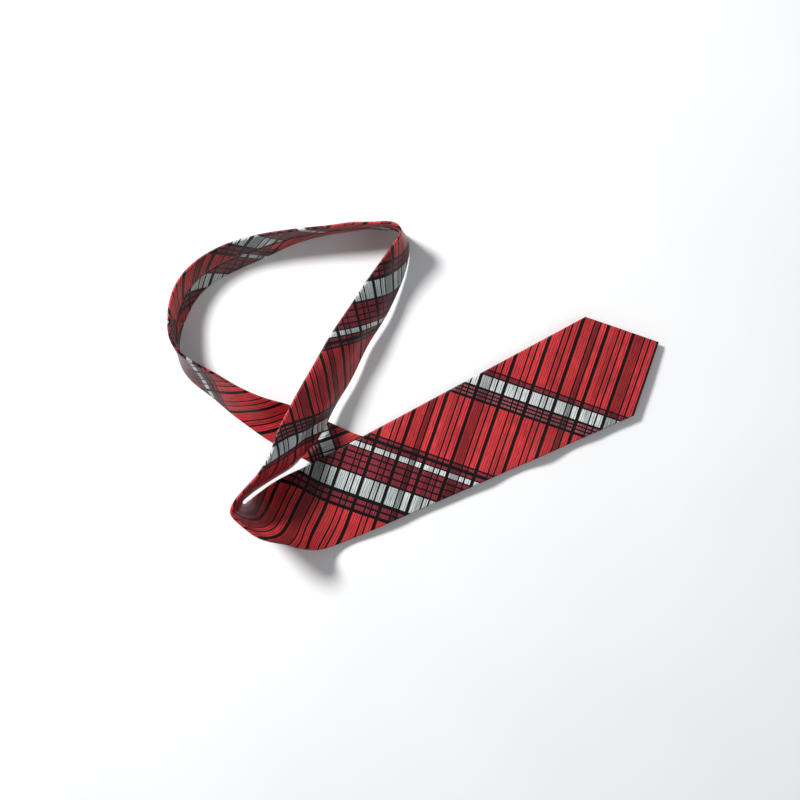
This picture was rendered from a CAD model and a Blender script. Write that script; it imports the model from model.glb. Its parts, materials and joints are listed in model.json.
"""A folded necktie laid out in a loop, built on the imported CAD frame. Lengths are in millimetres until
a mesh is made, which turns them into metres."""
import json

import bpy
import numpy as np
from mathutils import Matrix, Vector


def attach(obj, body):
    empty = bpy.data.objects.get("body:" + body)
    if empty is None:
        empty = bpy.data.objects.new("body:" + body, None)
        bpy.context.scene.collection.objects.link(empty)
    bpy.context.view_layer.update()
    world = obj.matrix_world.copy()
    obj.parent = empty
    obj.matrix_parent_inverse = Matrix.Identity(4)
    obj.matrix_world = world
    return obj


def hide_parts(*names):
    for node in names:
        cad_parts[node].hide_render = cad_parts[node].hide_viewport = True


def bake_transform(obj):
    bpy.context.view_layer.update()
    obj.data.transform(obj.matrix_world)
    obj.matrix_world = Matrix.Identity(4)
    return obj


MM = 0.001
ROOT_TWO = 1.414  # the cloth is cut on the diagonal
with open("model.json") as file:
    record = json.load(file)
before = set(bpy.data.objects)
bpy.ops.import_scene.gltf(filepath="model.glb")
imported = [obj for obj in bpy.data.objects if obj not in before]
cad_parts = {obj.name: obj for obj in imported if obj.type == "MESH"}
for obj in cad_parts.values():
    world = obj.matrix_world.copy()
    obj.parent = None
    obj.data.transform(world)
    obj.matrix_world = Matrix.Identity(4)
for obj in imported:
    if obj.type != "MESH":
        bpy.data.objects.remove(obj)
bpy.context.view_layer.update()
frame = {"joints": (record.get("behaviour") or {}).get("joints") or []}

# ---------------------------------------------------------------- the tie's own coordinates
# s is the distance from the front point along the tie, t the distance across it (towards the left
# of someone walking from the front point), h the height above its middle layer.

BLADE_W, TAIL_W, NECK_W = 95.0, 48.0, 36.0
HALF_T = 1.6
TIP_FOLD_S, LIFT_S = 150.0, 214.0
TAIL_BACK, TAIL_NECK = 13.0, 380.0
HEM_W = 7.0
FRONT_TOP, TAIL_TOP = 134.0, 96.0
BLADE_Z, TAIL_Z = 6.3, 2.3
HALF_GAP = 0.3
SEAM_FRONT, SEAM_TAIL = 681.6, 912.0
TIE_MIDDLE = np.array([4.45, 0.95, 0.0])
FRONT_POINT = np.array([214.0, 40.0, BLADE_Z])
BLADE_DIR = np.array([np.cos(np.radians(26)), np.sin(np.radians(26)), 0.0])

# Middle line from the blade's crease, round the lower left bank, up the strip, behind the neck, down
# the left side and under the blade, as in part.scad: x, y, z, roll, curl.
ROUTE = [
    (62, -34, 6.3, 0, 0), (21.7, -53.8, 6.3, 0, 0), (-20, -74, 6.3, 0, 0), (-51, -89, 6.3, 0, 0),
    (-77, -101, 6.3, 0, 0), (-96, -107, 12, 20, 0), (-112, -110.5, 22, 43, 0),
    (-127, -111.5, 31, 67, 0), (-140, -107, 35, 83, 0), (-147, -101, 36, 90, 0),
    (-141, -91, 37, 88, 0), (-130, -81, 37, 85, 0), (-118, -72, 37, 80, 10),
    (-105.5, -61.5, 37.5, 71, 25), (-94.5, -44.5, 36, 60, 40), (-83, -24, 33, 55, 45),
    (-69.5, 1.5, 30, 52, 45), (-52, 33.5, 27, 50, 45), (-32, 67, 25, 50, 45),
    (-16.5, 96, 22, 55, 35), (-7.5, 116.5, 22, 70, 20), (-6, 130.5, 22, 84, 5),
    (-14.5, 137.5, 21, 90, 0), (-39.5, 138.5, 20, 90, 0), (-70, 135, 19, 92, 0),
    (-100.5, 129.5, 18.5, 100, 0), (-129, 121, 18, 115, 0), (-155, 111.5, 16, 122, 0),
    (-176, 100, 16, 120, 0), (-189.5, 86.5, 17, 116, 0), (-197, 71.5, 18, 110, 0),
    (-200.5, 57, 19, 101, 0), (-201.5, 42, 19, 92, 0), (-197, 27.5, 19, 78, 0),
    (-186, 15, 18, 64, 0), (-170, 4, 17, 57, 0), (-151, -10, 15.5, 50, 0), (-129, -22, 11, 33, 0),
    (-105, -33.5, 4.5, 8, 0), (-80.5, -45.6, 2.3, 0, 0), (-56, -57.2, 2.3, 0, 0),
    (-37.5, -62.6, 2.3, 0, 0), (-18, -64, 2.3, 0, 0), (1.5, -61.2, 2.3, 0, 0),
    (21.7, -53.8, 2.3, 0, 0), (38.4, -43.2, 2.3, 0, 0),
]


def catmull_rom(points, per_span):
    """Points of the smooth curve through all but the first and last point."""
    points = np.array(points, float)
    a, b, c, d = points[:-3, None], points[1:-2, None], points[2:-1, None], points[3:, None]
    x = (np.arange(per_span) / per_span)[None, :, None]
    curve = (2 * b + (c - a) * x + (2 * a - 5 * b + 4 * c - d) * x**2 + (3 * b - a - 3 * c + d) * x**3) / 2
    return np.vstack([curve.reshape(-1, points.shape[1]), points[-2]])


def smoothed(values, stations, reach):
    """values at even stations, softened over about reach mm, straight beyond both ends."""
    width = int(3 * reach / (stations[1] - stations[0]))
    before = 2 * values[0] - values[width:0:-1]
    after = 2 * values[-1] - values[-2 : -width - 2 : -1]
    padded = np.concatenate([before, values, after])
    kernel = np.exp(-0.5 * (np.arange(-width, width + 1) / (width / 3)) ** 2)
    kernel /= kernel.sum()
    return np.column_stack([np.convolve(column, kernel, "valid") for column in padded.T])


def middle_line():
    """Stations every millimetre along the whole tie: distance, point, roll and curl."""
    route = catmull_rom(ROUTE, 24)
    step = np.linalg.norm(np.diff(route[:, :3], axis=0), axis=1)
    along = LIFT_S + np.concatenate([[0], np.cumsum(step)])
    end = along[-1] + LIFT_S - TAIL_BACK
    blade = np.array([[*FRONT_POINT, 0, 0]])
    tail = np.array([[*(FRONT_POINT - TAIL_BACK * BLADE_DIR)[:2], TAIL_Z, 0, 0]])
    rows = np.vstack([blade, route, tail])
    distance = np.concatenate([[0], along, [end]])
    stations = np.linspace(0, end, int(end) + 1)
    even = np.column_stack([np.interp(stations, distance, column) for column in rows.T])
    return stations, smoothed(even, stations, 3.5)


STATIONS, LINE = middle_line()
TIE_LENGTH = STATIONS[-1]
TAIL_LIFT_S = TIE_LENGTH - (LIFT_S - TAIL_BACK)
WIDTH_AT = [0, BLADE_W / 2, 300, 480, 640, 760, TIE_LENGTH - TAIL_NECK, TIE_LENGTH - TAIL_W / 2, TIE_LENGTH]
WIDTHS = [0, BLADE_W, 75, 57, 41, NECK_W, NECK_W, TAIL_W, 0]


def width(s):
    return np.interp(s, WIDTH_AT, WIDTHS)


def frames():
    """Unit vectors along, across and through the tie at every station."""
    along = np.gradient(LINE[:, :3], axis=0)
    along /= np.linalg.norm(along, axis=1)[:, None]
    side = np.column_stack([-along[:, 1], along[:, 0], np.zeros(len(along))])
    side /= np.linalg.norm(side, axis=1)[:, None]
    rise = np.cross(along, side)
    roll = np.radians(LINE[:, 3:4])
    return np.cos(roll) * side + np.sin(roll) * rise, np.cos(roll) * rise - np.sin(roll) * side


ACROSS, THROUGH = frames()


def at_stations(table, s):
    return np.stack([np.interp(s, STATIONS, column) for column in table.T], axis=-1)


def bump(x, centre, reach):
    return np.exp(-(((x - centre) / reach) ** 2))


def drape(s, t):
    """Soft unevenness of the cloth: how far the whole layer stands off its smooth course."""
    u, v = (s - t) / ROOT_TWO, (s + t) / ROOT_TWO
    flat_blade = np.clip(s / 25, 0, 1) * np.clip((335 - s) / 60, 0, 1)
    waves = 0.9 + 0.55 * np.sin(u / 6.3 + 0.6) * np.sin(v / 37 + 1.1) + 0.35 * np.sin(u / 10.5 + v / 60)
    waves += 1.5 * bump(u, 62, 9) * bump(v, 125, 36) - 0.7 * bump(u, 82, 8) * bump(v, 115, 34)
    waves += 0.9 * bump(u, 104, 8) * bump(v, 150, 30) + 0.7 * bump(u, 30, 8) * bump(v, 95, 30)
    flat_blade = flat_blade * np.maximum(waves, 0)
    bank = bump(s, 352, 34) * (1.1 * np.sin((s + 0.7 * t) / 9.5) * np.clip(0.5 - t / 60, 0, 1))
    strip = np.clip((s - 455) / 40, 0, 1) * np.clip((690 - s) / 40, 0, 1)
    strip = strip * (0.55 * np.sin(s / 15 + t / 7) + 0.35 * np.sin(s / 8.3 - t / 9 + 1))
    pleats = bump(s, 492, 26) * 1.5 * np.sin((t + 0.35 * (s - 492)) / 4.6) * np.clip((16 - t) / 20, 0, 1)
    neck = bump(s, 700, 40) * 0.5 * np.sin(s / 6.5 + t / 9)
    tail = bump(s, 1030, 55) * (0.7 * np.sin(s / 13 - t / 6) + 0.4 * np.sin(s / 7.1 + t / 8))
    return flat_blade + bank + strip + pleats + neck + tail


def on_tie(s, t, h):
    """Points in millimetres in the row frame."""
    s, t, h = np.broadcast_arrays(np.asarray(s, float), np.asarray(t, float), np.asarray(h, float))
    line = at_stations(LINE, s)
    across, through = at_stations(ACROSS, s), at_stations(THROUGH, s)
    bow = np.maximum(width(s), 1) / np.maximum(np.radians(line[..., 4]), 1e-4)
    turn = (t / bow)[..., None]
    bow = bow[..., None]
    lift = (h + drape(s, t))[..., None]
    return (
        line[..., :3] - TIE_MIDDLE + bow * np.sin(turn) * across + bow * (np.cos(turn) - 1) * through
        + lift * (np.cos(turn) * through + np.sin(turn) * across)
    )


# ---------------------------------------------------------------- node helpers


class Shader:
    """A Principled material whose nodes are made by short calls."""

    def __init__(self, name, roughness=0.6, specular=0.3, sheen=0.0):
        self.material = bpy.data.materials.new(name)
        self.material.use_nodes = True
        self.nodes = self.material.node_tree.nodes
        self.links = self.material.node_tree.links
        self.surface = self.nodes["Principled BSDF"]
        self.surface.inputs["Roughness"].default_value = roughness
        self.surface.inputs["Specular IOR Level"].default_value = specular
        self.surface.inputs["Sheen Weight"].default_value = sheen
        self.surface.inputs["Sheen Roughness"].default_value = 0.4

    def join(self, source, socket):
        if hasattr(source, "links"):
            self.links.new(source, socket)
        else:
            socket.default_value = source

    def maths(self, operation, a, b=0.0, c=None, clamp=False):
        node = self.nodes.new("ShaderNodeMath")
        node.operation = operation
        node.use_clamp = clamp
        self.join(a, node.inputs[0])
        self.join(b, node.inputs[1])
        if c is not None:
            self.join(c, node.inputs[2])
        return node.outputs[0]

    def mix(self, share, a, b, blend="MIX"):
        node = self.nodes.new("ShaderNodeMix")
        node.data_type = "RGBA"
        node.blend_type = blend
        for value, socket in ((share, 0), (a, 6), (b, 7)):
            self.join(value, node.inputs[socket])
        return node.outputs[2]

    def ramp(self, share, stops, steps=True):
        """Colour by share; stops are (position, colour)."""
        node = self.nodes.new("ShaderNodeValToRGB")
        node.color_ramp.interpolation = "CONSTANT" if steps else "LINEAR"
        elements = node.color_ramp.elements
        while len(elements) < len(stops):
            elements.new(1.0)
        for element, (position, colour) in zip(elements, stops):
            element.position = position
            element.color = (*colour, 1)
        self.join(share, node.inputs[0])
        return node.outputs[0]

    def noise(self, vector, scale, detail=3.0):
        node = self.nodes.new("ShaderNodeTexNoise")
        node.inputs["Scale"].default_value = scale
        node.inputs["Detail"].default_value = detail
        self.join(vector, node.inputs["Vector"])
        return node.outputs["Fac"]

    def cloth_axes(self):
        """The cloth's own two coordinates, in millimetres, from the cloth UV map."""
        node = self.nodes.new("ShaderNodeUVMap")
        node.uv_map = "cloth"
        split = self.nodes.new("ShaderNodeSeparateXYZ")
        self.join(node.outputs[0], split.inputs[0])
        return [self.maths("MULTIPLY", split.outputs[i], 1 / UV_SCALE) for i in (0, 1)]

    def vector(self, x, y):
        node = self.nodes.new("ShaderNodeCombineXYZ")
        self.join(x, node.inputs[0])
        self.join(y, node.inputs[1])
        return node.outputs[0]

    def place(self):
        return self.nodes.new("ShaderNodeTexCoord").outputs["Object"]

    def finish(self, colour, height, strength, distance):
        """Links the colour and a height map in metres."""
        self.join(colour, self.surface.inputs["Base Color"])
        node = self.nodes.new("ShaderNodeBump")
        node.inputs["Strength"].default_value = strength
        node.inputs["Distance"].default_value = distance
        self.join(height, node.inputs["Height"])
        self.join(node.outputs[0], self.surface.inputs["Normal"])
        return self.material


UV_SCALE = 0.01  # UV units per millimetre

# ---------------------------------------------------------------- the plaid

RED = (0.62, 0.040, 0.046)
ROSE = (0.25, 0.026, 0.042)
PALE_ROSE = (0.30, 0.075, 0.095)
WHITE = (0.66, 0.70, 0.69)
GREY_WHITE = (0.56, 0.61, 0.60)
BLACK = (0.004, 0.002, 0.002)

STRIPE_PERIOD, STRIPE_START = 22.5, -0.85
# Lines along the cloth, repeated: start in millimetres, brightness
STRIPES = [
    (0, 0.0), (3.0, 1.0), (4.3, 0.25), (4.9, 1.0), (6.2, 0.6), (6.6, 0.9), (7.9, 0.0), (9.4, 1.0),
    (10.3, 0.2), (10.9, 0.85), (11.8, 0.55), (12.2, 1.0), (13.0, 0.0), (14.4, 0.95), (15.4, 0.25),
    (15.9, 1.0), (17.1, 0.3), (17.6, 0.9), (18.6, 0.6), (19.0, 1.0), (20.0, 0.25), (20.5, 1.0), (21.7, 0.7),
]
SHADE_PERIOD = 112.5
# Darker zones along the cloth, repeated
SHADES = [
    (0, 1.0), (13.2, 0.5), (21.0, 1.0), (35.5, 0.75), (40.0, 1.0), (51.5, 0.42), (57.0, 0.9), (80.0, 1.0),
]

BAND_PERIOD = 265.0
# Bands across the cloth: where each starts and its colour, as two groups
FIRST_BANDS = [
    (68, RED), (70, BLACK), (71.3, ROSE), (74.5, BLACK), (75.9, WHITE), (86.6, BLACK), (88.7, PALE_ROSE),
    (90.5, BLACK), (91.8, PALE_ROSE), (93.6, BLACK), (94.9, PALE_ROSE), (96.9, BLACK), (99.2, RED),
]
SECOND_BANDS = [
    (153, RED), (155, BLACK), (156.2, ROSE), (158.6, BLACK), (161.4, ROSE), (164.0, BLACK), (165.4, WHITE),
    (169.6, BLACK), (170.9, ROSE), (174.2, BLACK), (175.8, ROSE), (179.6, BLACK), (181.0, ROSE),
    (185.4, BLACK), (186.9, ROSE), (191.4, BLACK), (193.1, GREY_WHITE), (209.2, BLACK), (212.4, ROSE),
    (216.0, BLACK), (217.7, ROSE), (221.5, BLACK), (224.3, RED),
]
BAND_SPLIT = 125.0
FIRST_BANDS_LENGTH, SECOND_BANDS_LENGTH = 34.0, 74.0
# Brightness of the streaks and patches: times, plus
STREAK_GAIN, PATCH_GAIN = (2.1, -0.12), (0.9, 0.52)
STREAK_RANGE = (0.35, 1.25)


def band_colours(shader, place, bands, length):
    """Colour of one group of bands, from the place in the repeat."""
    start = bands[0][0]
    share = shader.maths("DIVIDE", shader.maths("SUBTRACT", place, start), length, clamp=True)
    return shader.ramp(share, [((at - start) / length, colour) for at, colour in bands])


def plaid(name):
    """Satin plaid of fine lines along the cloth, crossed by two groups of bands."""
    shader = Shader(name, roughness=0.36, specular=0.22, sheen=0.02)
    u, v = shader.cloth_axes()
    stripe = shader.maths("DIVIDE", shader.maths("SUBTRACT", u, STRIPE_START), STRIPE_PERIOD)
    stripe = shader.maths("FRACT", stripe)
    line = shader.ramp(stripe, [(at / STRIPE_PERIOD, (x, x, x)) for at, x in STRIPES])
    shade = shader.maths("FRACT", shader.maths("DIVIDE", u, SHADE_PERIOD))
    shade = shader.ramp(shade, [(at / SHADE_PERIOD, (x, x, x)) for at, x in SHADES])
    repeat = shader.maths("FRACT", shader.maths("DIVIDE", v, BAND_PERIOD))
    repeat = shader.maths("MULTIPLY", repeat, BAND_PERIOD)
    first = band_colours(shader, repeat, FIRST_BANDS, FIRST_BANDS_LENGTH)
    second = band_colours(shader, repeat, SECOND_BANDS, SECOND_BANDS_LENGTH)
    ground = shader.mix(shader.maths("GREATER_THAN", repeat, BAND_SPLIT), first, second)
    ground = shader.mix(1.0, ground, shade, "MULTIPLY")
    # Streaks of the threads that run along the cloth, and its unevenness over a hand's width
    across, along = shader.maths("MULTIPLY", u, 2.6), shader.maths("MULTIPLY", v, 0.12)
    streaks = shader.noise(shader.vector(across, along), 1.0)
    patches = shader.noise(shader.vector(u, v), 0.035, 2.0)
    streak = shader.maths("MULTIPLY_ADD", streaks, *STREAK_GAIN)
    streak = shader.maths("MINIMUM", shader.maths("MAXIMUM", streak, STREAK_RANGE[0]), STREAK_RANGE[1])
    patch = shader.maths("MULTIPLY_ADD", patches, *PATCH_GAIN)
    ground = shader.mix(1.0, ground, shader.maths("MULTIPLY", streak, patch), "MULTIPLY")
    colour = shader.mix(line, (*BLACK, 1), ground)
    # Twill ribs across the threads, and each black line lies a little lower
    slope = shader.maths("ADD", shader.maths("MULTIPLY", u, 6.0), shader.maths("MULTIPLY", v, 9.0))
    rib = shader.maths("SINE", slope)
    height = shader.maths("ADD", shader.maths("MULTIPLY", rib, 0.5), streaks)
    return shader.finish(colour, height, 0.35, 0.00012)


def lining_cloth():
    """Plain dark red lining with a fine diagonal weave."""
    shader = Shader("tipping_satin", roughness=0.38, specular=0.4, sheen=0.1)
    u, v = shader.cloth_axes()
    rib = shader.maths("SINE", shader.maths("MULTIPLY", shader.maths("ADD", u, v), 7.0))
    tone = shader.noise(shader.vector(u, shader.maths("MULTIPLY", v, 0.2)), 0.8)
    colour = shader.ramp(tone, [(0.3, (0.20, 0.008, 0.020)), (0.7, (0.36, 0.016, 0.034))], steps=False)
    return shader.finish(colour, rib, 0.3, 0.0001)


def wool():
    """Undyed wool interlining, felted and hairy."""
    shader = Shader("wool_interlining", roughness=0.9, specular=0.1, sheen=0.3)
    fibre = shader.noise(shader.place(), 900.0, 5.0)
    colour = shader.ramp(fibre, [(0.3, (0.55, 0.50, 0.41)), (0.7, (0.82, 0.78, 0.68))], steps=False)
    return shader.finish(colour, fibre, 0.5, 0.0004)


def ribbon(name, low, high, pitch):
    """Woven label tape with cross ribs."""
    shader = Shader(name, roughness=0.45, specular=0.35, sheen=0.1)
    u, v = shader.cloth_axes()
    rib = shader.maths("SINE", shader.maths("MULTIPLY", u, 6.28 / pitch))
    speck = shader.noise(shader.vector(shader.maths("MULTIPLY", u, 3.0), v), 1.2)
    colour = shader.ramp(speck, [(0.3, low), (0.7, high)], steps=False)
    return shader.finish(colour, rib, 0.4, 0.0001)


def thread(name, low, high):
    """Twisted sewing thread."""
    shader = Shader(name, roughness=0.5, specular=0.4, sheen=0.2)
    ply = shader.noise(shader.place(), 2600.0, 2.0)
    colour = shader.ramp(ply, [(0.3, low), (0.7, high)], steps=False)
    return shader.finish(colour, ply, 0.6, 0.0002)


PLAID = plaid("silk_plaid")
TIPPING = lining_cloth()
WOOL = wool()
RED_THREAD = thread("red_thread", (0.30, 0.012, 0.02), (0.55, 0.03, 0.05))
PALE_THREAD = thread("pale_thread", (0.5, 0.5, 0.48), (0.8, 0.8, 0.77))
LABEL_TAPE = ribbon("maker_label_tape", (0.012, 0.012, 0.018), (0.035, 0.035, 0.045), 0.5)
CARE_TAPE = ribbon("care_label_tape", (0.66, 0.66, 0.64), (0.82, 0.82, 0.80), 0.6)

# ---------------------------------------------------------------- mesh helpers


def make_piece(name, points, faces, cloth, material):
    """A mesh piece from points in millimetres, with the cloth's coordinates as its UV map."""
    mesh = bpy.data.meshes.new(name)
    mesh.from_pydata((np.asarray(points) * MM).tolist(), [], faces)
    loops = np.array([loop.vertex_index for loop in mesh.loops])
    layer = mesh.uv_layers.new(name="cloth")
    layer.data.foreach_set("uv", (np.asarray(cloth) * UV_SCALE)[loops].ravel().astype(np.float32))
    mesh.shade_smooth()
    mesh.materials.append(material)
    piece = bpy.data.objects.new(name, mesh)
    bpy.context.collection.objects.link(piece)
    return piece


def grid_faces(rows, columns, closed=False):
    """Quads over a grid of points, facing out for rings that turn from back to left edge to front."""
    last = columns if closed else columns - 1
    faces = []
    for i in range(rows - 1):
        low, high = i * columns, (i + 1) * columns
        for j in range(last):
            after = (j + 1) % columns
            faces.append((low + j, low + after, high + after, high + j))
    return faces


# Where each panel is cut from the cloth, in the plaid's own coordinates
NECK_SHIFT, TAIL_TURNED_FROM = (9, 123), (700, 854)
PULL, PULL_FROM, PULL_OVER = 0.156, 485, 147


def fabric(s, t):
    """The plaid's own coordinates at each place. The bands stretch a little where the strip is pulled
    round the neck, the neck panel is cut from another place, and the tail panel is turned about."""
    eased = s + PULL * np.clip(s - PULL_FROM, 0, PULL_OVER)
    u, v = (eased - t) / np.sqrt(2), (eased + t) / np.sqrt(2)
    neck = (s > SEAM_FRONT) & (s <= SEAM_TAIL)
    tail = s > SEAM_TAIL
    u, v = np.where(neck, u + NECK_SHIFT[0], u), np.where(neck, v + NECK_SHIFT[1], v)
    turned_u = TAIL_TURNED_FROM[0] - (s - t) / np.sqrt(2)
    turned_v = TAIL_TURNED_FROM[1] - (s + t) / np.sqrt(2)
    return np.stack([np.where(tail, turned_u, u), np.where(tail, turned_v, v)], axis=-1)


def window_half(s):
    """Half width of the opening down the back: the seam's gap, or the window of a pointed end."""
    gap = np.full_like(s, HALF_GAP)
    for start, c, top, side in ((0.0, BLADE_W / 2, FRONT_TOP, 1), (TIE_LENGTH, TAIL_W / 2, TAIL_TOP, -1)):
        x = (s - start) * side
        low, corner = HEM_W * np.sqrt(2), c + 3
        gap = np.maximum(gap, np.interp(x, [low, corner, top], [HALF_GAP, corner - low, HALF_GAP]))
    return gap


def side_by_side(*parts):
    rows = max(len(part) for part in parts)
    return np.hstack([np.broadcast_to(part, (rows, part.shape[1])) for part in parts])


EDGE_TURNS = np.linspace(0, np.pi, 11)[1:-1]
FRONT_COUNT, BACK_COUNT = 45, 13
EDGE_T = 0.8


def section(s):
    """Across-the-tie outline of the folded cloth at each s: t, h and the cloth's own t, from the left
    lip of the seam, round the left edge, over the front and round the right edge to the other lip."""
    half = width(s)[:, None] / 2
    thin = np.clip(half / 3, 0.08, 1)
    radius = np.minimum(HALF_T * EDGE_T, 0.45 * half)
    flat = half - radius
    gap = np.minimum(window_half(s)[:, None], 0.85 * flat)

    def height(t):
        return HALF_T * thin * (EDGE_T + (1 - EDGE_T) * (1 - (t / np.maximum(half, 0.01)) ** 2))

    def half_section(side):
        """Lip, back and edge of one side, from the seam to the front."""
        lap = 0.3 * (side < 0) * np.exp(-3 * np.linspace(0, 1, BACK_COUNT))[None, :]
        lip_t = gap + np.minimum(np.array([[2.6, 0.7, 0.12, 0.25]]), 0.8 * (flat - gap))
        lip_h = -height(lip_t) + np.array([[0.62, 0.55, 0.34, 0.08]]) * thin - lap[:, :1]
        lip_cloth = flat + np.pi * radius + flat - gap + np.array([[3.0, 1.4, 0.7, 0.3]])
        clear = 0.5 * (flat - gap > 1)
        back_t = (gap + clear) + (flat - gap - clear) * np.linspace(0, 1, BACK_COUNT)
        back_h = -height(back_t) - lap
        back_cloth = flat + np.pi * radius + (flat - back_t)
        turns = EDGE_TURNS[None, ::-1]
        edge_t = flat + radius * np.sin(turns)
        edge_h = height(flat) * np.cos(turns)
        edge_cloth = flat + radius * turns
        t = side_by_side(lip_t, back_t, edge_t)
        h = side_by_side(lip_h, back_h, edge_h)
        return side * t, h, side * side_by_side(lip_cloth, back_cloth, edge_cloth)

    left = half_section(1)
    right = half_section(-1)
    front_t = flat * np.linspace(1, -1, FRONT_COUNT)[None, :]
    front = (front_t, height(front_t), front_t)
    return [np.hstack([a, b, c[:, ::-1]]) for a, b, c in zip(left, front, right)]


RING_STEP = 2.2
SEAM_DEPTH = 0.28
NEAR_POINT = np.array([0.02, 0.3, 0.8, 1.5])
BY_SEAM = np.array([-1.6, -0.8, -0.3, 0.3, 0.8, 1.6])


def rings(first, last):
    """Distances of the rings of a piece, closer at the two points, and one on each corner."""
    even = np.linspace(first, last, int((last - first) / RING_STEP) + 2)
    corners = [BLADE_W / 2, TIE_LENGTH - TAIL_W / 2]
    extra = np.concatenate([
        NEAR_POINT, TIE_LENGTH - NEAR_POINT, SEAM_FRONT + BY_SEAM, SEAM_TAIL + BY_SEAM, corners,
    ])
    extra = extra[(extra > first) & (extra < last)]
    kept = np.array([
        x for x in even
        if len(extra) == 0 or np.abs(extra - x).min() > 0.4 or x in (first, last)
    ])
    kept = kept[(kept > 0.01) & (kept < TIE_LENGTH - 0.01)]
    return np.sort(np.concatenate([kept, extra]))


def shell(name, first, last, nodes, bend=None, body=None):
    """A length of the silk shell, folded round to the seam at the middle of its back. Its flat width is
    the mean along its length, with the turned-in lips."""
    s = rings(first, last)
    t, h, cloth_t = section(s)
    along = np.broadcast_to(s[:, None], t.shape)
    groove = bump(along, SEAM_FRONT, 0.7) + bump(along, SEAM_TAIL, 0.7)
    points = on_tie(along, t, h * (1 - SEAM_DEPTH * groove)).reshape(-1, 3)
    piece = make_piece(
        name, points, grid_faces(*t.shape), fabric(along, cloth_t).reshape(-1, 2), PLAID
    )
    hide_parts(*nodes)
    hang(piece, bend, body)


def hang(piece, bend, body):
    """Gives a piece its body, or lets it bend over a crease line."""
    if bend:
        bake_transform(piece)
    else:
        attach(piece, body)


# ---------------------------------------------------------------- where the tie bends
JOINTS = {joint["name"]: joint for joint in frame["joints"]}


def crease(name, reach, first_body, second_body):
    """Bending zone over a joint, reach millimetres to each side of it."""
    middle = np.array(JOINTS[name]["pos_m"])
    before = tuple(middle - BLADE_DIR * reach * MM)
    after = tuple(middle + BLADE_DIR * reach * MM)
    return first_body, second_body, before, after


LIFT = crease("front_blade_lift", 10, "neck_loop", "front_blade")
FOLD = crease("front_tip_fold", 12, "front_blade", "front_tip")
BLADE_CUT, PANEL_CUT, TAIL_CUT = 183.0, 300.0, 1128.0

shell("front_tip_cloth", 0, BLADE_CUT, ["front_tip_shell"], bend=FOLD)
shell("front_blade_cloth", BLADE_CUT, PANEL_CUT, ["front_blade_shell"], bend=LIFT)
shell("front_panel_cloth", PANEL_CUT, SEAM_FRONT, ["front_panel_shell"], body="neck_loop")
shell("neck_panel_cloth", SEAM_FRONT, SEAM_TAIL, ["neck_panel_shell"], body="neck_loop")
shell("tail_panel_cloth", SEAM_TAIL, TAIL_CUT, ["tail_panel_shell"], body="neck_loop")
shell("tail_end_cloth", TAIL_CUT, TIE_LENGTH, ["tail_end_shell"], bend=LIFT)


# ---------------------------------------------------------------- interlining and tipping
WOOL_IN, WOOL_T = 2.0, 1.5
TIPPING_H, TIPPING_PUFF, TIPPING_RIPPLE = 1.03, 0.16, 0.03


def point_reach(s, inset):
    """Half width of a layer inset from the folded edges, in to a point at each end of the tie."""
    ends = np.minimum(s, TIE_LENGTH - s) - inset * np.sqrt(2)
    return np.maximum(np.minimum(width(s) / 2 - inset, ends), 0.05)


def layer(name, first, last, inset, low, high, material, slot, node, bend=None, body=None):
    """A flat layer inside the fold between two heights, with soft edges and closed ends."""
    s = np.linspace(first, last, int((last - first) / 4) + 2)
    reach = point_reach(s, inset)[:, None]
    across = np.linspace(-1, 1, 17)[None, :]
    middle, thick = (low + high) / 2, (high - low) / 2
    soft = thick * np.sqrt(np.maximum(1 - np.abs(across) ** 12, 0.02))
    t = side_by_side(reach * -across, reach * across)
    h = side_by_side(middle + soft, middle - soft) + 0 * t
    along = np.broadcast_to(s[:, None], t.shape)
    count = t.shape[1]
    faces = grid_faces(*t.shape, closed=True)
    faces += [tuple(range(count))[::-1], tuple(range((len(s) - 1) * count, len(s) * count))]
    piece = make_piece(
        name, on_tie(along, t, h).reshape(-1, 3), faces, fabric(along, t).reshape(-1, 2), material
    )
    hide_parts(node)
    hang(piece, bend, body)


WOOL_START = WOOL_IN * np.sqrt(2) + 0.2
for name, first, last, bend, body in (
    ("front_tip_interlining", WOOL_START, BLADE_CUT, FOLD, None),
    ("front_blade_interlining", BLADE_CUT, PANEL_CUT, LIFT, None),
    ("front_interlining", PANEL_CUT, SEAM_FRONT, None, "neck_loop"),
    ("neck_interlining", SEAM_FRONT, SEAM_TAIL, None, "neck_loop"),
    ("tail_interlining", SEAM_TAIL, TAIL_CUT, None, "neck_loop"),
    ("tail_end_interlining", TAIL_CUT, TIE_LENGTH - WOOL_START, LIFT, None),
):
    layer(
        name + "_felt", first, last, WOOL_IN, -WOOL_T / 2, WOOL_T / 2, WOOL, "wool_interlining", name,
        bend, body,
    )


def tipping(name, start, side, low, top, half, node, bend):
    """Lining cloth behind a pointed end, set inside the window and a little puffed."""
    x = np.linspace(low, top, 60)
    s = (start + side * x)[:, None] if side > 0 else (start + side * x)[::-1, None]
    opening = window_half(s[:, 0])[:, None] + 3.0
    reach = np.minimum(opening, point_reach(s[:, 0], 1.4)[:, None])
    across = np.linspace(-1, 1, 31)[None, :]
    t = reach * across
    puff = TIPPING_PUFF * (1 - across**2) * np.minimum(reach / half, 1)
    h = -TIPPING_H - puff + TIPPING_RIPPLE * np.sin(s / 4 + t / 5)
    along = np.broadcast_to(s, t.shape)
    cloth = np.stack([along, t], -1).reshape(-1, 2)
    piece = make_piece(
        name, on_tie(along, t, h).reshape(-1, 3), grid_faces(*t.shape), cloth, TIPPING
    )
    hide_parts(node)
    hang(piece, bend, None)


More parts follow.
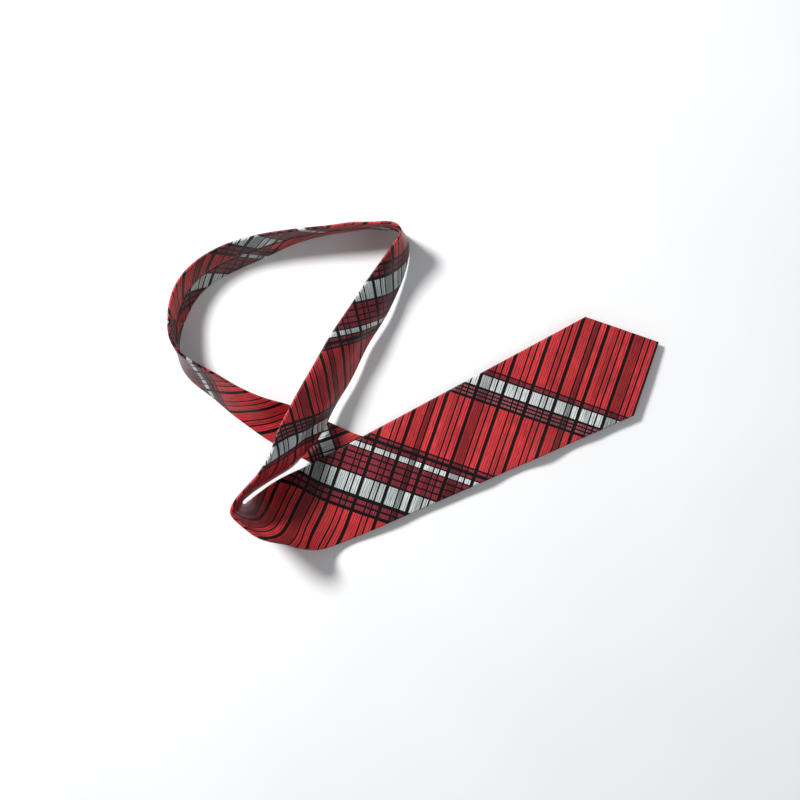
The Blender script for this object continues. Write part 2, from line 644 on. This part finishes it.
TUCK, ON = 5.0, 4.0
tipping("front_tipping_cloth", 0, 1, TUCK, FRONT_TOP + ON, BLADE_W / 2, "front_tipping", FOLD)
tipping("tail_tipping_cloth", TIE_LENGTH, -1, TUCK, TAIL_TOP + ON, TAIL_W / 2, "tail_tipping", LIFT)

# ---------------------------------------------------------------- stitches
THREAD_R = 0.17
FINE_R = THREAD_R * 0.85


def stitches(name, paths, radius, material, node, bend=None, body=None):
    """Short threads in one mesh. Each path is a few points given as s, t and h."""
    points, faces = [], []
    turns = np.linspace(0, 2 * np.pi, 7)[:-1]
    for path in paths:
        course = on_tie(*np.array(path).T)
        along = np.gradient(course, axis=0)
        along /= np.linalg.norm(along, axis=1)[:, None]
        up = np.cross(along, np.array([0.31, 0.52, 0.8]))
        up /= np.linalg.norm(up, axis=1)[:, None]
        out = np.cross(along, up)
        full = radius * np.array([0.35] + [1.0] * (len(course) - 2) + [0.35])[:, None, None]
        ring = up[:, None] * np.cos(turns)[None, :, None] + out[:, None] * np.sin(turns)[None, :, None]
        start = len(points)
        points += list((course[:, None] + full * ring).reshape(-1, 3))
        count = len(turns)
        faces += [tuple(start + i for i in face) for face in grid_faces(len(course), count, closed=True)]
        last = start + (len(course) - 1) * count
        faces += [tuple(range(start, start + count))[::-1], tuple(range(last, last + count))]
    piece = make_piece(name, points, faces, np.array(points)[:, :2], material)
    if node:
        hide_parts(node)
    hang(piece, bend, body)


def slanted(s, t, turn, length, h, rise):
    """One stitch lying on the cloth: its ends go in, its middle stands out by rise."""
    reach = np.array([-0.5, -0.35, 0.0, 0.35, 0.5]) * length
    out = np.array([0.25, -0.7, -1.0, -0.7, 0.25]) * rise
    return np.stack([s + reach * np.cos(turn), t + reach * np.sin(turn), h + out], axis=-1)


def back_h(s, t):
    """Height of the outside of the back flaps."""
    half = width(np.asarray(s, float)) / 2
    return -HALF_T * (EDGE_T + (1 - EDGE_T) * (1 - (t / half) ** 2))


def seam_thread(name, first, last, node, bend=None, body=None):
    """Slip stitches across the middle of the back, one every few millimetres."""
    places = np.arange(first + 3, last - 3, 7.5)
    paths = [slanted(s, 0.0, 0.62, 2.6, back_h(s, 0.0) + 0.1, 0.22) for s in places]
    stitches(name, paths, THREAD_R, RED_THREAD, node, bend, body)


seam_thread("front_tip_slip_threads", FRONT_TOP + 6, BLADE_CUT, None, bend=FOLD)
seam_thread("front_blade_slip_threads", BLADE_CUT, PANEL_CUT, "front_blade_slip_stitch", bend=LIFT)
seam_thread("collar_slip_threads", PANEL_CUT, TAIL_CUT, "collar_slip_stitch", body="neck_loop")
seam_thread("tail_end_slip_threads", TAIL_CUT, TIE_LENGTH - TAIL_TOP - 6, "tail_end_slip_stitch", bend=LIFT)


def hem_threads(name, start, side, half, pitch, node, bend):
    """Small slanted stitches along the two hems of a point."""
    paths = []
    for x in np.arange(HEM_W * np.sqrt(2) + 3, half, pitch / np.sqrt(2)):
        for way in (-1, 1):
            t = way * (x - HEM_W * np.sqrt(2) + 0.9)
            s = start + side * x
            paths.append(slanted(s, t, side * way * 0.35, 2.2, float(back_h(s, t)) + 0.05, 0.2))
    stitches(name, paths, THREAD_R, RED_THREAD, node, bend)


hem_threads("front_hem_threads", 0, 1, BLADE_W / 2, 4.5, "front_hem_stitches", FOLD)
hem_threads("tail_hem_threads", TIE_LENGTH, -1, TAIL_W / 2, 3.5, "tail_hem_stitches", LIFT)


def bar_tack(name, s, node, bend):
    """A dense bar of thread across the end of the seam."""
    places = list(enumerate(np.linspace(-5.6, 5.6, 9)))
    paths = [
        [(s + (i - 2) * 0.34, t, back_h(s, t) - 0.04 - 0.1 * np.cos(i * 2 + k)) for k, t in places]
        for i in range(5)
    ]
    wraps = [
        slanted(s, t, 0.12, 2.1, float(back_h(s, t)) - 0.02, 0.22) for t in np.arange(-5.4, 5.5, 0.45)
    ]
    stitches(name, [np.array(p) for p in paths] + wraps, FINE_R, RED_THREAD, node, bend)


bar_tack("front_bar_tack_threads", FRONT_TOP + 3, "front_bar_tack", FOLD)
bar_tack("tail_bar_tack_threads", TIE_LENGTH - TAIL_TOP - 3, "tail_bar_tack", LIFT)

# ---------------------------------------------------------------- keeper loop and labels
KEEPER_S, KEEPER_W, KEEPER_IN, KEEPER_OUT, STRAP_T = 164.0, 14.0, 23.25, 31.0, 0.5
STRAP_FLOOR = 0.32  # height of the strap's middle where it passes under the tail
STRAP_SQUARENESS = 0.35  # nearer 0 is a squarer section


def keeper():
    """A folded strip of the plaid under the tail, its two ends turned out on the blade's back."""
    corner = 1.6
    turn = np.linspace(0, np.pi / 2, 6)
    floor_run = np.linspace(0, KEEPER_IN - corner, 12)
    t = np.concatenate([
        floor_run, KEEPER_IN - corner + corner * np.sin(turn), np.full(3, KEEPER_IN),
        KEEPER_IN + 0.8 * (1 - np.cos(turn)), np.linspace(KEEPER_IN + 1.6, KEEPER_OUT, 8),
    ])
    share = np.concatenate([
        np.zeros(12), 0.38 * (1 - np.cos(turn)), np.array([0.5, 0.64, 0.78]),
        0.84 + 0.16 * np.sin(turn), np.ones(8),
    ])
    t, share = np.concatenate([-t[:0:-1], t]), np.concatenate([share[:0:-1], share])
    ring = np.linspace(0, 2 * np.pi, 25)[:-1]
    flat_x = np.sign(np.cos(ring)) * np.abs(np.cos(ring)) ** STRAP_SQUARENESS * KEEPER_W / 2
    flat_n = np.sign(np.sin(ring)) * np.abs(np.sin(ring)) ** STRAP_SQUARENESS * STRAP_T / 2
    middle = KEEPER_S + KEEPER_W / 2
    top = on_tie(np.full_like(t, middle), t, np.full_like(t, -HALF_T - STRAP_T / 2 - 0.02))
    bottom = top.copy()
    bottom[:, 2] = STRAP_FLOOR
    course = bottom + (top - bottom) * share[:, None]
    along = np.gradient(course, axis=0)
    along /= np.linalg.norm(along, axis=1)[:, None]
    wide = -BLADE_DIR
    normal = np.cross(wide, along)
    normal /= np.linalg.norm(normal, axis=1)[:, None]
    points = (
        course[:, None] + flat_x[None, :, None] * wide + flat_n[None, :, None] * normal[:, None]
    ).reshape(-1, 3)
    length = np.concatenate([[0], np.cumsum(np.linalg.norm(np.diff(course, axis=0), axis=1))])
    cloth = np.stack([
        (length[:, None] + flat_x[None, :]) / ROOT_TWO + 3,
        (length[:, None] - flat_x[None, :]) / ROOT_TWO + 18,
    ], axis=-1)
    count = len(ring)
    faces = grid_faces(len(course), count, closed=True)
    faces += [tuple(range(count))[::-1], tuple(range((len(course) - 1) * count, len(course) * count))]
    piece = make_piece("keeper_loop_cloth", points, faces, cloth.reshape(-1, 2), PLAID)
    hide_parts("keeper_loop")
    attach(piece, "front_blade")


keeper()
tacks = [
    slanted(KEEPER_S + x, way * t, 0.1 * (i % 3 - 1), 2.2, -HALF_T - STRAP_T - 0.02, 0.2)
    for x in (2.2, KEEPER_W - 2.2)
    for way in (-1, 1)
    for i, t in enumerate(np.arange(25.6, 30.3, 0.42))
]
stitches(
    "keeper_tack_threads", tacks, FINE_R, RED_THREAD, "keeper_tacks", body="front_blade"
)


def label(name, first, last, left, right, droop, material, node):
    """A woven label lying on the blade's back, with rounded folds at its edges."""
    rows, columns, thick = 24, 36, 0.13
    x, y = np.linspace(-1, 1, rows)[:, None], np.linspace(-1, 1, columns)[None, :]
    s = (first + last) / 2 + (last - first) / 2 * x + 0 * y
    t = (left + right) / 2 + (right - left) / 2 * y + 0 * x
    soft = thick * np.sqrt(np.maximum((1 - x**16) * (1 - y**16), 0.03))
    border = 0.05 * (bump(np.abs(x), 0.88, 0.03) + bump(np.abs(y), 0.94, 0.015))
    middle = -HALF_T - 0.17 - droop * ((x + 1) / 2) ** 2 * (1 + 0.25 * np.sin(3 * y))
    upper, lower = on_tie(s, t, middle + soft), on_tie(s, t, middle - soft - border)
    points = np.concatenate([upper.reshape(-1, 3), lower.reshape(-1, 3)])
    cloth = np.concatenate([np.stack([s, t], -1).reshape(-1, 2)] * 2)
    sheet = grid_faces(rows, columns)
    under = rows * columns
    faces = [face[::-1] for face in sheet] + [tuple(under + i for i in face) for face in sheet]
    rim = [(0, j) for j in range(columns)] + [(i, columns - 1) for i in range(1, rows)]
    rim += [(rows - 1, j) for j in range(columns - 2, -1, -1)] + [(i, 0) for i in range(rows - 2, 0, -1)]
    rim = [i * columns + j for i, j in rim]
    faces += [(a, b, b + under, a + under) for a, b in zip(rim, rim[1:] + rim[:1])]
    piece = make_piece(name, points, faces, cloth, material)
    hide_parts(node)
    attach(piece, "front_blade")


LABEL_S, LABEL_L, LABEL_W, CARE_W, CARE_H = 181.0, 22.0, 44.0, 20.0, 12.0
label(
    "maker_label_woven", LABEL_S, LABEL_S + LABEL_L, -LABEL_W / 2, LABEL_W / 2, 0.0, LABEL_TAPE,
    "maker_label",
)
CARE_LEFT = LABEL_W / 2 + 2
label(
    "care_label_ribbon", LABEL_S, LABEL_S + CARE_W, CARE_LEFT, CARE_LEFT + CARE_H, 1.2, CARE_TAPE,
    "care_label",
)
edge_stitches = [
    slanted(LABEL_S + x, way * (LABEL_W / 2 - 1.4), 0.0, 2.2, -HALF_T - 0.33, 0.14)
    for way in (-1, 1)
    for x in np.arange(2.5, LABEL_L - 1.5, 3.2)
]
stitches("label_edge_threads", edge_stitches, 0.12, PALE_THREAD, "label_stitches",
         body="front_blade")

# ---------------------------------------------------------------- camera, light and floor


def look_down():
    """Camera straight above the middle of the view."""
    data = bpy.data.cameras.new("camera")
    data.sensor_width = 36.0
    data.lens = 36.0 * CAMERA_HEIGHT / VIEW_WIDTH
    camera = bpy.data.objects.new("camera", data)
    camera.location = (VIEW_MIDDLE[0] * MM, VIEW_MIDDLE[1] * MM, CAMERA_HEIGHT * MM)
    bpy.context.collection.objects.link(camera)
    bpy.context.scene.camera = camera


VIEW_MIDDLE = (-13.8, -10.9)
CAMERA_HEIGHT, VIEW_WIDTH = 1100.0, 694.0
look_down()


def area_light(name, place, size, power, colour=(1, 1, 1)):
    """Soft light aimed at the middle of the tie."""
    data = bpy.data.lights.new(name, "AREA")
    data.shape = "DISK"
    data.size = size
    data.energy = power
    data.color = colour
    light = bpy.data.objects.new(name, data)
    light.location = place
    light.rotation_euler = (Vector((0, 0, 0)) - Vector(place)).to_track_quat("-Z", "Y").to_euler()
    bpy.context.collection.objects.link(light)


def floor():
    mesh = bpy.data.meshes.new("floor")
    mesh.from_pydata([(-4, -4, 0), (4, -4, 0), (4, 4, 0), (-4, 4, 0)], [], [(0, 1, 2, 3)])
    shader = Shader("pale_floor", roughness=0.85, specular=0.15)
    tone = shader.noise(shader.place(), 6.0, 2.0)
    colour = shader.ramp(tone, [(0.2, (0.84, 0.84, 0.84)), (0.8, (0.88, 0.88, 0.88))], steps=False)
    mesh.materials.append(shader.finish(colour, tone, 0.05, 0.0005))
    plane = bpy.data.objects.new("floor", mesh)
    bpy.context.collection.objects.link(plane)


floor()
area_light("key", (-1.15, 0.85, 1.35), 0.42, 50)
area_light("fill", (1.1, -0.3, 1.2), 1.2, 3)
world = bpy.data.worlds.new("studio")
bpy.context.scene.world = world
world.use_nodes = True
background = world.node_tree.nodes["Background"]
background.inputs["Color"].default_value = (0.93, 0.96, 1.0, 1)
background.inputs["Strength"].default_value = 0.30
bpy.context.scene.view_settings.view_transform = "Standard"
